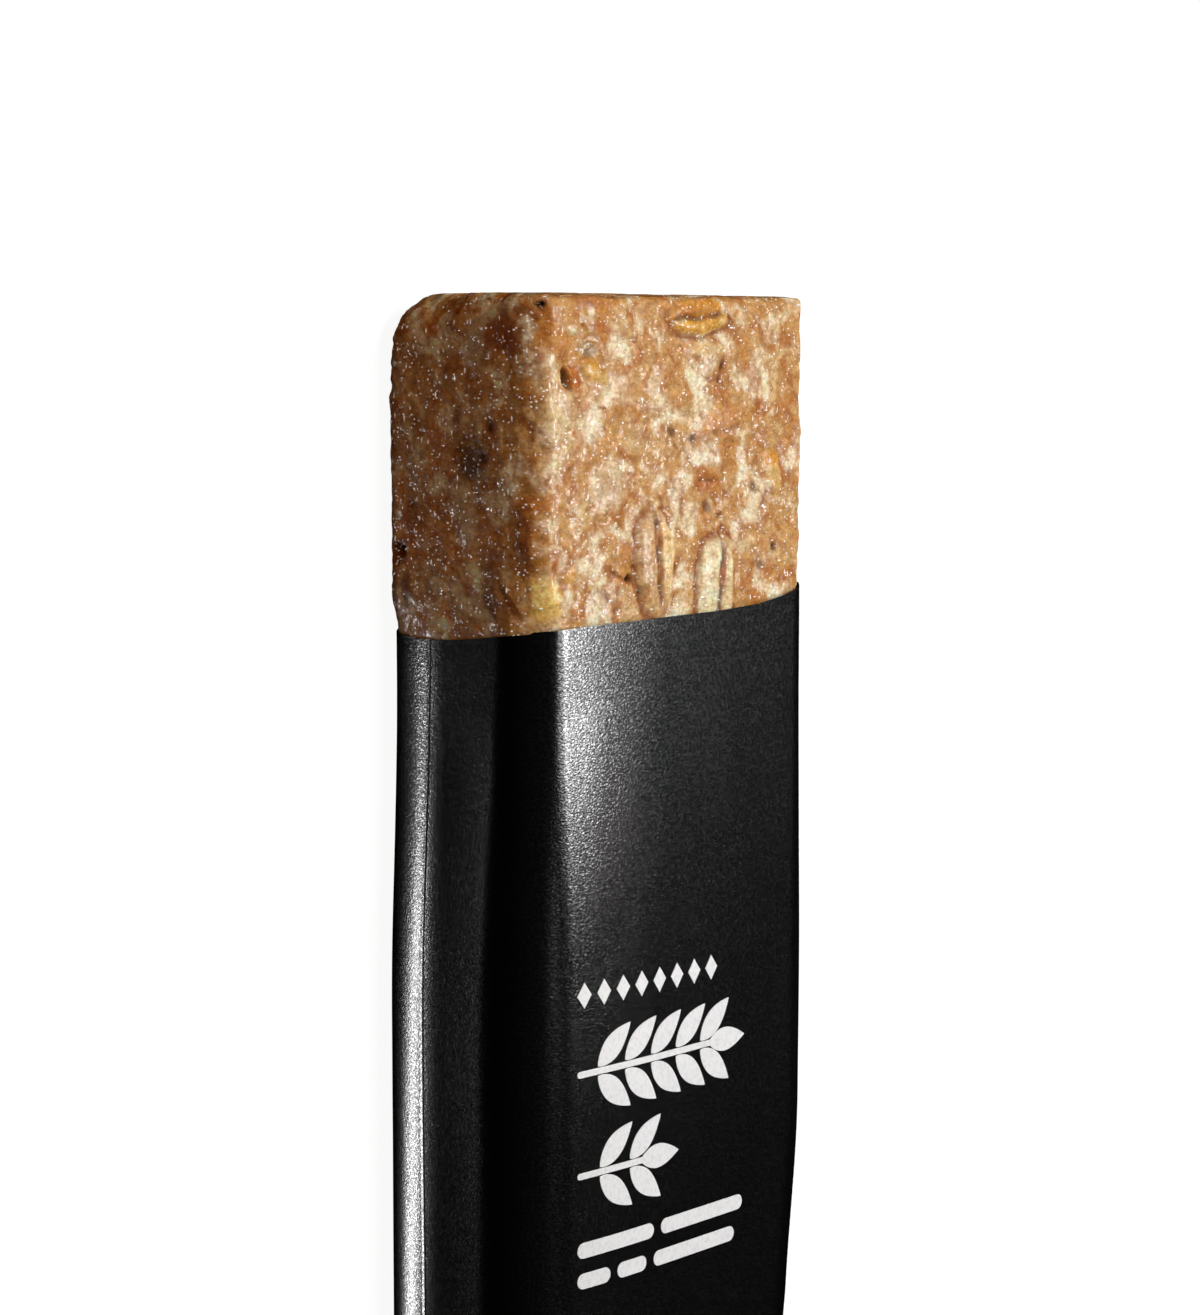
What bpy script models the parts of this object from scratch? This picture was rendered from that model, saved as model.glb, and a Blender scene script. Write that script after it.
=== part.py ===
"""Granola bar, half unwrapped: a pressed block of oats and puffed rice that stands out of a black flow-wrap
sleeve. The sleeve was cut straight across, and its far end is still flattened into the crimped end seal.

The bar lies on its back. +Z is the broad front of the pack, -X is the bare end of the bar, and +X is the
crimped end. The origin is in the middle of the box around it, at the height that it rests on.
"""

import math

import bmesh
import bpy
from mathutils import Vector, noise

for old in list(bpy.data.objects):
    bpy.data.objects.remove(old, do_unlink=True)

MM = 0.001

# ---- driving dimensions -------------------------------------------------------------------------------------
TOTAL_LENGTH = 117.0 * MM  # bare end of the bar to the cut edge of the end seal
BAR_LENGTH = 96.0 * MM
WIDTH = 37.2 * MM  # outside of the film, and the bare bar, which is flush with it
THICKNESS = 18.0 * MM
BARE_LENGTH = 27.9 * MM  # bare end to the film's rim, along the front left edge
FILM = 0.32 * MM  # modelled film, thicker than the real one
GAP = 0.31 * MM  # film to bar
RIM_SLANT_ACROSS = -0.035  # how far the rim runs out of square, across the front
RIM_SLANT_DEEP = 0.065  # and from the front of the pack to its back
BARE_ROUND = 1.5 * MM  # long edges of the bare bar
BARE_END_ROUND = 1.0 * MM  # front edge of the bare end
BARE_END_BACK_ROUND = 3.8 * MM  # back edge of the bare end
FAR_END_ROUND = 3.0 * MM  # wrapped end of the bar

SEAM_WIDTH = 11.0 * MM  # lengthwise lap seam on the back
SEAM_STEP = 0.25 * MM
TAPER_FROM = 36.8 * MM  # where the film leaves the bar and starts to close
CRIMP_FROM = 47.5 * MM  # where the two walls of film meet
CRIMP_THICKNESS = 0.80 * MM
CRIMP_HEIGHT = 4.0 * MM  # middle of the end seal above the rest plane
CRIMP_WIDTH = 52.6 * MM  # half of the film's girth
TOOTH_PITCH = 2.1 * MM  # zigzag of the cut edge
TOOTH_DEPTH = 1.0 * MM

X_BARE = -TOTAL_LENGTH / 2
X_CUT = TOTAL_LENGTH / 2
X_BAR_END = X_BARE + BAR_LENGTH
HALF_W = WIDTH / 2
TUBE_LOW, TUBE_HIGH = SEAM_STEP, THICKNESS
HALF_T = (TUBE_HIGH - TUBE_LOW) / 2


def mix(a, b, t):
    return a + (b - a) * t


def smooth(t):
    t = min(1.0, max(0.0, t))
    return t * t * (3 - 2 * t)


def rim_x(y, z):
    """Where the cut rim of the film lies. It is a plane, slightly out of square."""
    return X_BARE + BARE_LENGTH + RIM_SLANT_ACROSS * (y + HALF_W) + RIM_SLANT_DEEP * (THICKNESS - z)


def corner_radii(x):
    """Film corner radii at x: front left, front right, back right, back left. The film hugs the bar at the rim
    and gets looser towards the seal."""
    t = smooth((x + 28 * MM) / (50 * MM))
    late = smooth((x - 14 * MM) / (22 * MM))
    return (
        mix(1.9, 3.6, t) * MM,
        mix(mix(2.2, 2.6, t), 5.2, late) * MM,
        mix(2.2, 3.0, t) * MM,
        mix(2.4, 3.0, t) * MM,
    )


# ---- the film's section, as one ring of points --------------------------------------------------------------
ARC_POINTS, SIDE_POINTS = 4, 3
CORNERS = ((-1, 1), (1, 1), (1, -1), (-1, -1))


def seam_edges(reach):
    """Where the back's points lie, from the right to the left: the two steps of the lap seam among them."""
    half = SEAM_WIDTH / 2
    return [mix(reach, half, 0.5), half + 0.12 * MM, half, 0.0, -half, -half - 0.12 * MM, -mix(reach, half, 0.5)]


def film_ring(x, inset=0.0):
    """Points round the sleeve at x, from its front left corner round to the right and the back. In the tube the
    section is a rounded rectangle. In the taper the side walls spread into a flat lens, so the girth stays."""
    s = smooth((x - TAPER_FROM) / (CRIMP_FROM - TAPER_FROM))
    half = mix(HALF_T, CRIMP_THICKNESS / 2, s)
    middle = mix(TUBE_LOW + HALF_T, CRIMP_HEIGHT, s)
    spread = (CRIMP_WIDTH / 2 - HALF_W) * math.sqrt(max(0.0, 1 - (half / HALF_T) ** 2))
    power = 2.0 / mix(2.0, 7.0, smooth((s - 0.75) / 0.25))
    radii = corner_radii(x)
    to_lens = smooth(1.5 * s)
    ring = []
    for right, (a, b) in ((1, (1, 2)), (-1, (3, 0))):
        boxed = []
        for k in (a, b):
            sy, sz = CORNERS[k]
            r = min(radii[k], half)
            start = (180, 90, 0, -90)[k]
            for i in range(ARC_POINTS):
                turn = math.radians(start - 90 * i / (ARC_POINTS - 1))
                boxed.append((sy * (HALF_W - r) + r * math.cos(turn), sz * (half - r) + r * math.sin(turn)))
            if k == a:
                z0, z1 = sz * (half - r), -sz * (half - min(radii[b], half))
                boxed += [(sy * HALF_W, mix(z0, z1, (i + 1) / (SIDE_POINTS + 1))) for i in range(SIDE_POINTS)]
        points = []
        flat = HALF_W - 4.0 * MM
        for i, (y, z) in enumerate(boxed):
            turn = math.pi * i / (len(boxed) - 1)
            lens_y = flat + (4.0 * MM + spread) * abs(math.sin(turn)) ** power
            lens_z = half * math.copysign(abs(math.cos(turn)) ** power, math.cos(turn))
            points.append((mix(y, right * lens_y, to_lens), mix(z, right * lens_z, to_lens)))
        ring.append(points)
    right_side, left_side = ring
    front_from, front_to = left_side[-1][0], right_side[0][0]
    front = [(mix(front_from, front_to, (i + 1) / 8), half) for i in range(7)]
    step = SEAM_STEP * (1 - smooth(1.6 * s))
    if inset:
        step = 0.0
    back = [(y, -half - (step if abs(y) <= SEAM_WIDTH / 2 else 0.0)) for y in seam_edges(right_side[-1][0])]
    outline = left_side[ARC_POINTS + SIDE_POINTS :] + front + right_side + back + left_side[: ARC_POINTS + SIDE_POINTS]
    if inset:
        outline = inward(outline, inset)
    return [Vector((x, y, middle + z)) for y, z in outline]


def inward(outline, distance):
    """The outline, clockwise as seen here, moved inwards by the distance."""
    moved = []
    n = len(outline)
    for i, (y, z) in enumerate(outline):
        ay, az = outline[i - 1]
        by, bz = outline[(i + 1) % n]
        d0 = Vector((y - ay, z - az)).normalized()
        d1 = Vector((by - y, bz - z)).normalized()
        n0, n1 = Vector((d0.y, -d0.x)), Vector((d1.y, -d1.x))
        m = (n0 + n1).normalized()
        reach = distance / max(0.6, m.dot(n0))
        moved.append((y + m.x * reach, z + m.y * reach))
    return moved


def loft(name, rings):
    """A closed solid through rings of equal count, capped at both ends."""
    bm = bmesh.new()
    loops = [[bm.verts.new(p) for p in ring] for ring in rings]
    n = len(loops[0])
    for a, b in zip(loops, loops[1:]):
        for i in range(n):
            bm.faces.new((a[i], a[(i + 1) % n], b[(i + 1) % n], b[i]))
    bm.faces.new(list(reversed(loops[0])))
    bm.faces.new(loops[-1])
    bmesh.ops.recalc_face_normals(bm, faces=bm.faces)
    mesh = bpy.data.meshes.new(name)
    bm.to_mesh(mesh)
    bm.free()
    return bpy.data.objects.new(name, mesh)


def material(name, colour, roughness, metallic=0.0):
    made = bpy.data.materials.new(name)
    made.use_nodes = True
    shader = made.node_tree.nodes["Principled BSDF"]
    shader.inputs["Base Color"].default_value = (*colour, 1)
    shader.inputs["Roughness"].default_value = roughness
    shader.inputs["Metallic"].default_value = metallic
    return made


parts = bpy.data.collections.new("granola_bar")
cutters = bpy.data.collections.new("cutters")
bpy.context.scene.collection.children.link(parts)
bpy.context.scene.collection.children.link(cutters)
cutters.hide_render = True

# ---- the film sleeve ----------------------------------------------------------------------------------------
TUBE_X = [-24.0, -12.0, 0.0, 12.0, 20.0, 28.0, 36.8]
TAPER_X = [38.0, 39.5, 41.0, 42.5, 44.0, 45.3, 46.5, 47.5]
rings = [[Vector((rim_x(p.y, p.z), p.y, p.z)) for p in film_ring(-29.0 * MM)]]
rings += [film_ring(x * MM) for x in TUBE_X + TAPER_X]
rings.append(film_ring(X_CUT))
wrapper = loft("wrapper", rings)
parts.objects.link(wrapper)
wrapper.data.materials.append(material("black_film", (0.010, 0.010, 0.012), 0.38))

inner = [[Vector((-36.0 * MM, p.y, p.z)) for p in film_ring(-29.0 * MM, FILM)]]
inner += [[Vector((rim_x(p.y, p.z), p.y, p.z)) for p in film_ring(-29.0 * MM, FILM)]]
inner += [film_ring(x * MM, FILM) for x in TUBE_X + TAPER_X[:6]]
hollow = loft("hollow_cutter", inner)
hollow.hide_render = True
hollow.display_type = "WIRE"
cutters.objects.link(hollow)
cut = wrapper.modifiers.new("hollow", "BOOLEAN")
cut.operation = "DIFFERENCE"
cut.object = hollow

# The zigzag cut edge of the seal: one row of triangular notches, taken out of its last millimetre.
bm = bmesh.new()
count = 26
start = -TOOTH_PITCH * count / 2
outline = []
for i in range(count):
    y = start + i * TOOTH_PITCH
    outline += [(X_CUT + 0.05 * MM, y), (X_CUT - TOOTH_DEPTH, y + TOOTH_PITCH / 2)]
outline += [(X_CUT + 0.05 * MM, -start), (X_CUT + 3 * MM, -start), (X_CUT + 3 * MM, start)]
low = [bm.verts.new((x, y, CRIMP_HEIGHT - 3 * MM)) for x, y in outline]
floor = bm.faces.new(low)
grown = bmesh.ops.extrude_face_region(bm, geom=[floor])
bmesh.ops.translate(bm, vec=(0, 0, 6 * MM), verts=[g for g in grown["geom"] if isinstance(g, bmesh.types.BMVert)])
bmesh.ops.recalc_face_normals(bm, faces=bm.faces)
mesh = bpy.data.meshes.new("teeth_cutter")
bm.to_mesh(mesh)
bm.free()
teeth = bpy.data.objects.new("teeth_cutter", mesh)
teeth.hide_render = True
teeth.display_type = "WIRE"
cutters.objects.link(teeth)
cut = wrapper.modifiers.new("teeth", "BOOLEAN")
cut.operation = "DIFFERENCE"
cut.object = teeth

# ---- the bar ------------------------------------------------------------------------------------------------
# A cube is cut into a grid, and every point is then pressed onto the rounded section that holds there: the bare
# size up to the rim, and the film's own inside less the gap beyond it.
BARE_STEP, WRAPPED_STEP, CROSS_STEP = 2.3 * MM, 8.0 * MM, 2.3 * MM
bm = bmesh.new()
bmesh.ops.create_cube(bm, size=1.0)
for v in bm.verts:
    v.co = Vector((mix(X_BARE, X_BAR_END, v.co.x + 0.5), v.co.y * WIDTH, (v.co.z + 0.5) * THICKNESS))


def slice_at(point, normal):
    bmesh.ops.bisect_plane(bm, geom=bm.verts[:] + bm.edges[:] + bm.faces[:], plane_co=point, plane_no=normal)


rim_normal = Vector((1, -RIM_SLANT_ACROSS, RIM_SLANT_DEEP))
for back_off in (0.75 * MM, 0.35 * MM):
    slice_at(Vector((rim_x(0, 0) - back_off, 0, 0)), rim_normal)
xs = [X_BARE + d * MM for d in (0.5, 1.2, 2.4)]
while xs[-1] + BARE_STEP < rim_x(HALF_W, THICKNESS) - 1.2 * MM:
    xs.append(xs[-1] + BARE_STEP)
x = rim_x(-HALF_W, 0) + 1.2 * MM
while x < X_BAR_END - 3.5 * MM:
    xs.append(x)
    x += WRAPPED_STEP
xs += [X_BAR_END - d * MM for d in (3.0, 1.5, 0.5)]
for x in xs:
    slice_at(Vector((x, 0, 0)), Vector((1, 0, 0)))
across = [HALF_W - d * MM for d in (0.6, 1.8, 3.6)]
while across[-1] - CROSS_STEP > 0:
    across.append(across[-1] - CROSS_STEP)
for y in sorted({round(s * y, 6) for y in across for s in (-1, 1)}):
    slice_at(Vector((0, y, 0)), Vector((0, 1, 0)))
for z in (0.6, 1.8, 3.6, 6.2, 9.0, 11.8, 14.4, 16.2, 17.4):
    slice_at(Vector((0, 0, z * MM)), Vector((0, 0, 1)))


def pressed(p):
    """The point p of the sliced block, moved onto the bar's real surface."""
    bare = p.x < rim_x(p.y, p.z) - 0.5 * MM
    right = p.y >= 0
    back = p.z < THICKNESS / 2
    if bare:
        y_reach, z_low, z_high = HALF_W, 0.12 * MM, THICKNESS
        near_end = smooth((X_BARE + 7 * MM - p.x) / (7 * MM))
        r = mix(BARE_ROUND, 0.8 * BARE_END_BACK_ROUND, near_end) if back else BARE_ROUND
    else:
        inset = FILM + GAP
        y_reach, z_low, z_high = HALF_W - inset, TUBE_LOW + inset, THICKNESS - inset
        radii = corner_radii(p.x)
        r = max(radii[(2 if back else 1) if right else (3 if back else 0)] - inset, 0.9 * MM) + 0.1 * MM
    y = p.y / HALF_W * y_reach
    z = mix(z_low, z_high, p.z / THICKNESS)
    if p.x > 0:
        rx = FAR_END_ROUND
    else:
        rx = mix(BARE_END_ROUND, BARE_END_BACK_ROUND, smooth(1 - p.z / THICKNESS))
    core = Vector(
        (
            min(max(p.x, X_BARE + rx), X_BAR_END - rx),
            min(max(y, -y_reach + r), y_reach - r),
            min(max(z, z_low + r), z_high - r),
        )
    )
    d = Vector(((p.x - core.x) / rx, (y - core.y) / r, (z - core.z) / r))
    n = d.normalized() if d.length > 0 else Vector((0, 0, 1))
    q = core + Vector((n.x * rx, n.y * r, n.z * r)) if d.length > 0 else Vector((p.x, y, z))
    if bare:
        n = Vector((n.x / rx, n.y / r, n.z / r)).normalized()
        lumps = noise.noise(q / (5.5 * MM)) + 0.7 * noise.noise(q / (2.8 * MM) + Vector((7, 3, 1)))
        fade = smooth((rim_x(q.y, q.z) - 0.5 * MM - q.x) / (2.0 * MM))
        q = q + n * (lumps * 0.42 * MM - 0.15 * MM) * fade
        q.x = max(q.x, X_BARE)
        q.z = min(max(q.z, 0.05 * MM), THICKNESS)
        q.y = min(max(q.y, -HALF_W), HALF_W)
    return q


for v, q in zip(bm.verts, [pressed(v.co) for v in bm.verts]):
    v.co = q
# The foremost grain of the bare end reaches the end plane.
foremost = min(v.co.x for v in bm.verts)
for v in bm.verts:
    if v.co.x < foremost + 0.04 * MM:
        v.co.x = X_BARE
bmesh.ops.recalc_face_normals(bm, faces=bm.faces)
mesh = bpy.data.meshes.new("bar")
bm.to_mesh(mesh)
bm.free()
bar = bpy.data.objects.new("bar", mesh)
parts.objects.link(bar)
bar.data.materials.append(material("oat_and_rice", (0.50, 0.30, 0.15), 0.45))
bar.data.shade_smooth()
wrapper.data.shade_smooth()
wrapper.data.set_sharp_from_angle(angle=math.radians(35))
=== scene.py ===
"""Looks of the half-unwrapped granola bar: the sticky oat and puffed-rice mass, and the black satin film round it.

Lengths in the modelling code below are in millimetres, and become metres as each mesh is made. The row frame: +Z is
the front of the pack, -X is the bare end of the bar, +X the crimped end. "e" is the distance from the bare end, "s"
runs across the front from its left edge, and "t" is the depth below the front.
"""

import math

import bpy
import numpy as np
from mathutils import Euler, Matrix, Vector


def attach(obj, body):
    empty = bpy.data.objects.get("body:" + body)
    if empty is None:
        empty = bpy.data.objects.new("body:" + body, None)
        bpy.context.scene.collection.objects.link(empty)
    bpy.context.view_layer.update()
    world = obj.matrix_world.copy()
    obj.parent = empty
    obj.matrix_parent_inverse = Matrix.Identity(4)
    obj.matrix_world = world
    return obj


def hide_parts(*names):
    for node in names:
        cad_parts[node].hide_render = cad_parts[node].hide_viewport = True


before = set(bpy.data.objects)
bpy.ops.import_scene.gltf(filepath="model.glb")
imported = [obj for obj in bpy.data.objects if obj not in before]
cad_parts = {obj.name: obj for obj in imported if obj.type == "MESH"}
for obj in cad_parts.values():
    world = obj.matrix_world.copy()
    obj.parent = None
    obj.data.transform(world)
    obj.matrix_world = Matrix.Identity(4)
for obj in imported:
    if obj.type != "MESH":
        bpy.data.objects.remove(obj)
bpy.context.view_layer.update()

# ---- the object's driving sizes, as in the solids ------------------------------------------------------------
LENGTH, WIDTH, THICK = 117.0, 37.2, 18.0
HW = WIDTH / 2
X0 = -LENGTH / 2  # bare end
X1 = LENGTH / 2  # cut edge of the end seal
BAR_END = X0 + 96.0
TAPER_FROM, CRIMP_FROM = 36.8, 47.5
CRIMP_Z = 4.0
SEAM_HALF = 5.5

scene = bpy.context.scene
rng = np.random.default_rng(41)


# ---- noise ---------------------------------------------------------------------------------------------------
def scramble(ix, iy, iz, salt):
    h = (ix * 73856093) ^ (iy * 19349663) ^ (iz * 83492791) ^ (salt * 265443576)
    h &= 0xFFFFFFFF
    h = ((h ^ (h >> 16)) * 0x45D9F3B) & 0xFFFFFFFF
    h = ((h ^ (h >> 16)) * 0x45D9F3B) & 0xFFFFFFFF
    return h ^ (h >> 16)


def perlin(p, salt=0):
    """Gradient noise at each row of p, about -0.8 to 0.8."""
    cell = np.floor(p).astype(np.int64)
    f = p - cell
    w = f * f * f * (f * (f * 6 - 15) + 10)
    total = np.zeros(len(p))
    for dx in (0, 1):
        for dy in (0, 1):
            for dz in (0, 1):
                h = scramble(cell[:, 0] + dx, cell[:, 1] + dy, cell[:, 2] + dz, salt)
                g = (
                    ((h & 1023) / 511.5 - 1) * (f[:, 0] - dx)
                    + (((h >> 10) & 1023) / 511.5 - 1) * (f[:, 1] - dy)
                    + (((h >> 20) & 1023) / 511.5 - 1) * (f[:, 2] - dz)
                )
                total += (
                    g
                    * (w[:, 0] if dx else 1 - w[:, 0])
                    * (w[:, 1] if dy else 1 - w[:, 1])
                    * (w[:, 2] if dz else 1 - w[:, 2])
                )
    return total


def fbm(p, octaves=3, salt=0):
    total, size = np.zeros(len(p)), 1.0
    for k in range(octaves):
        total += perlin(p * 2**k + 17.3 * k, salt + k) * size
        size *= 0.5
    return total


def cells(p, salt=0):
    """Nearest and second nearest scattered point to each row of p, and three random numbers of the nearest."""
    cell = np.floor(p).astype(np.int64)
    f1 = np.full(len(p), 9.0)
    f2 = np.full(len(p), 9.0)
    owner = np.zeros(len(p), np.int64)
    for dx in (-1, 0, 1):
        for dy in (-1, 0, 1):
            for dz in (-1, 0, 1):
                cx, cy, cz = cell[:, 0] + dx, cell[:, 1] + dy, cell[:, 2] + dz
                h = scramble(cx, cy, cz, salt)
                d = np.sqrt(
                    (cx + (h & 1023) / 1023.0 - p[:, 0]) ** 2
                    + (cy + ((h >> 10) & 1023) / 1023.0 - p[:, 1]) ** 2
                    + (cz + ((h >> 20) & 1023) / 1023.0 - p[:, 2]) ** 2
                )
                near = d < f1
                f2 = np.where(near, f1, np.minimum(f2, d))
                owner = np.where(near, h, owner)
                f1 = np.where(near, d, f1)
    r1 = scramble(owner, owner >> 3, owner >> 7, 5) / 4294967296.0
    r2 = scramble(owner, owner >> 5, owner >> 11, 9) / 4294967296.0
    r3 = scramble(owner, owner >> 2, owner >> 13, 13) / 4294967296.0
    return f1, f2, r1, r2, r3


def smooth(t):
    t = np.clip(t, 0.0, 1.0)
    return t * t * (3 - 2 * t)


def mix(a, b, t):
    return a + (b - a) * t


def lin(r, g, b):
    """A screen colour, 0 to 255, as light."""
    out = []
    for c in (r, g, b):
        c = c / 255.0
        out.append(c / 12.92 if c <= 0.04045 else ((c + 0.055) / 1.055) ** 2.4)
    return np.array(out)


# ---- the film's rim ------------------------------------------------------------------------------------------
RIM = [
    # (way round from the front left edge, mm; distance from the bare end, mm)
    (0.0, 27.85), (1.1, 27.8), (5.3, 27.6), (10.1, 27.5), (15.8, 27.4), (23.7, 27.33), (29.8, 27.05), (33.6, 26.5),
    (36.2, 25.85), (37.2, 25.6), (42.2, 25.4), (47.2, 25.5), (55.2, 26.0), (62.0, 26.5), (72.0, 27.2), (82.0, 27.9),
    (92.4, 28.4), (93.8, 28.6), (97.1, 28.9), (101.95, 28.7), (106.7, 28.2), (110.4, 27.85),
]  # fmt: skip


def way_round(y, z):
    """How far round the section the point lies, on the square-cornered block: front, right, back, left."""
    y = np.clip(y, -HW, HW)
    z = np.clip(z, 0, THICK)
    gap = np.stack([THICK - z, HW - y, z, y + HW])
    side = np.argmin(gap, axis=0)
    return np.choose(side, [y + HW, WIDTH + THICK - z, WIDTH + THICK + HW - y, 2 * WIDTH + THICK + z])


def rim_x(y, z):
    at, e = zip(*RIM)
    return X0 + np.interp(way_round(y, z), at, e)


# ---- mesh and material helpers -------------------------------------------------------------------------------
made = bpy.data.collections.new("granola_bar_looks")
scene.collection.children.link(made)


def mesh_piece(name, verts, faces, material, smooth_shaded=True, colours=None, extra=None):
    """A piece from points in millimetres. faces is a list of index arrays (n, 3) or (n, 4), or of index lists."""
    mesh = bpy.data.meshes.new(name)
    flat, starts, count = [], [], 0
    for block in faces:
        block = np.asarray(block)
        if block.ndim == 1:
            block = block[None, :]
        flat.append(block.reshape(-1))
        starts.append(count + np.arange(len(block)) * block.shape[1])
        count += block.size
    flat = np.concatenate(flat).astype(np.int32)
    starts = np.concatenate(starts).astype(np.int32)
    mesh.vertices.add(len(verts))
    mesh.vertices.foreach_set("co", (np.asarray(verts, float) * 0.001).astype(np.float32).reshape(-1))
    mesh.loops.add(len(flat))
    mesh.loops.foreach_set("vertex_index", flat)
    mesh.polygons.add(len(starts))
    mesh.polygons.foreach_set("loop_start", starts)
    mesh.update(calc_edges=True)
    mesh.validate()
    if smooth_shaded:
        mesh.shade_smooth()
    if colours is not None:
        layer = mesh.color_attributes.new("tint", "FLOAT_COLOR", "POINT")
        rgba = np.ones((len(verts), 4), np.float32)
        rgba[:, :3] = colours
        layer.data.foreach_set("color", rgba.reshape(-1))
    for key, values in (extra or {}).items():
        layer = mesh.attributes.new(key, "FLOAT", "POINT")
        layer.data.foreach_set("value", np.asarray(values, np.float32))
    mesh.materials.append(material)
    obj = bpy.data.objects.new(name, mesh)
    made.objects.link(obj)
    return obj


class Nodes:
    """Short names for building one material's nodes."""

    def __init__(self, name):
        self.material = bpy.data.materials.new(name)
        self.material.use_nodes = True
        self.tree = self.material.node_tree
        self.shader = self.tree.nodes["Principled BSDF"]
        coords = self.tree.nodes.new("ShaderNodeTexCoord")
        self.where = coords.outputs["Object"]

    def put(self, **values):
        for key, value in values.items():
            self.shader.inputs[key.replace("_", " ")].default_value = value

    def link(self, a, b):
        self.tree.links.new(a, b)

    def noise(self, size_mm, detail=2.0, rough=0.5, stretch=None, lac=2.0):
        node = self.tree.nodes.new("ShaderNodeTexNoise")
        node.inputs["Scale"].default_value = 1000.0 / size_mm
        node.inputs["Detail"].default_value = detail
        node.inputs["Roughness"].default_value = rough
        node.inputs["Lacunarity"].default_value = lac
        where = self.where
        if stretch:
            mapping = self.tree.nodes.new("ShaderNodeMapping")
            mapping.inputs["Scale"].default_value = stretch
            self.link(where, mapping.inputs["Vector"])
            where = mapping.outputs["Vector"]
        self.link(where, node.inputs["Vector"])
        return node.outputs["Fac"]

    def voronoi(self, size_mm, feature="F1", stretch=None, turn=(0.0, 0.0, 0.0)):
        node = self.tree.nodes.new("ShaderNodeTexVoronoi")
        node.feature = feature
        node.inputs["Scale"].default_value = 1000.0 / size_mm
        where = self.where
        if stretch:
            mapping = self.tree.nodes.new("ShaderNodeMapping")
            mapping.inputs["Rotation"].default_value = turn
            mapping.inputs["Scale"].default_value = stretch
            self.link(where, mapping.inputs["Vector"])
            where = mapping.outputs["Vector"]
        self.link(where, node.inputs["Vector"])
        return node.outputs["Distance"]

    def ramp(self, value, *stops):
        node = self.tree.nodes.new("ShaderNodeValToRGB")
        ramp = node.color_ramp
        while len(ramp.elements) < len(stops):
            ramp.elements.new(0.5)
        for element, (at, colour) in zip(ramp.elements, stops):
            element.position = at
            if isinstance(colour, (int, float)):
                colour = (colour, colour, colour)
            element.color = (*[float(c) for c in colour], 1.0)
        self.link(value, node.inputs["Fac"])
        return node.outputs["Color"]

    def attribute(self, name, output="Color"):
        node = self.tree.nodes.new("ShaderNodeAttribute")
        node.attribute_name = name
        return node.outputs[output]

    def blend(self, kind, a, b, fac=1.0):
        node = self.tree.nodes.new("ShaderNodeMix")
        node.data_type = "RGBA"
        node.blend_type = kind
        if isinstance(fac, (int, float)):
            node.inputs[0].default_value = fac
        else:
            self.link(fac, node.inputs[0])
        for value, socket in ((a, node.inputs[6]), (b, node.inputs[7])):
            if isinstance(value, bpy.types.NodeSocket):
                self.link(value, socket)
            else:
                socket.default_value = (*[float(c) for c in value], 1.0)
        return node.outputs[2]

    def math(self, operation, a, b=0.0, clamp=False):
        node = self.tree.nodes.new("ShaderNodeMath")
        node.operation = operation
        node.use_clamp = clamp
        for value, socket in ((a, node.inputs[0]), (b, node.inputs[1])):
            if isinstance(value, (int, float)):
                socket.default_value = value
            else:
                self.link(value, socket)
        return node.outputs[0]

    def bump(self, height, depth_mm, strength=1.0, under=None):
        node = self.tree.nodes.new("ShaderNodeBump")
        node.inputs["Strength"].default_value = strength
        node.inputs["Distance"].default_value = depth_mm * 0.001
        self.link(height, node.inputs["Height"])
        if under is not None:
            self.link(under, node.inputs["Normal"])
        return node.outputs["Normal"]

    def finish(self, colour=None, roughness=None, normal=None):
        for value, key in ((colour, "Base Color"), (roughness, "Roughness"), (normal, "Normal")):
            if value is not None:
                self.link(value, self.shader.inputs[key])
        return self.material


# ---- colours of the pressed mass -----------------------------------------------------------------------------
CREAM = lin(222, 194, 152)
TAN = lin(202, 156, 104)
GOLD = lin(200, 140, 68)
ORANGE = lin(178, 98, 34)
BROWN = lin(112, 58, 24)
DARK = lin(52, 26, 13)
YELLOW = lin(224, 180, 84)


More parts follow.
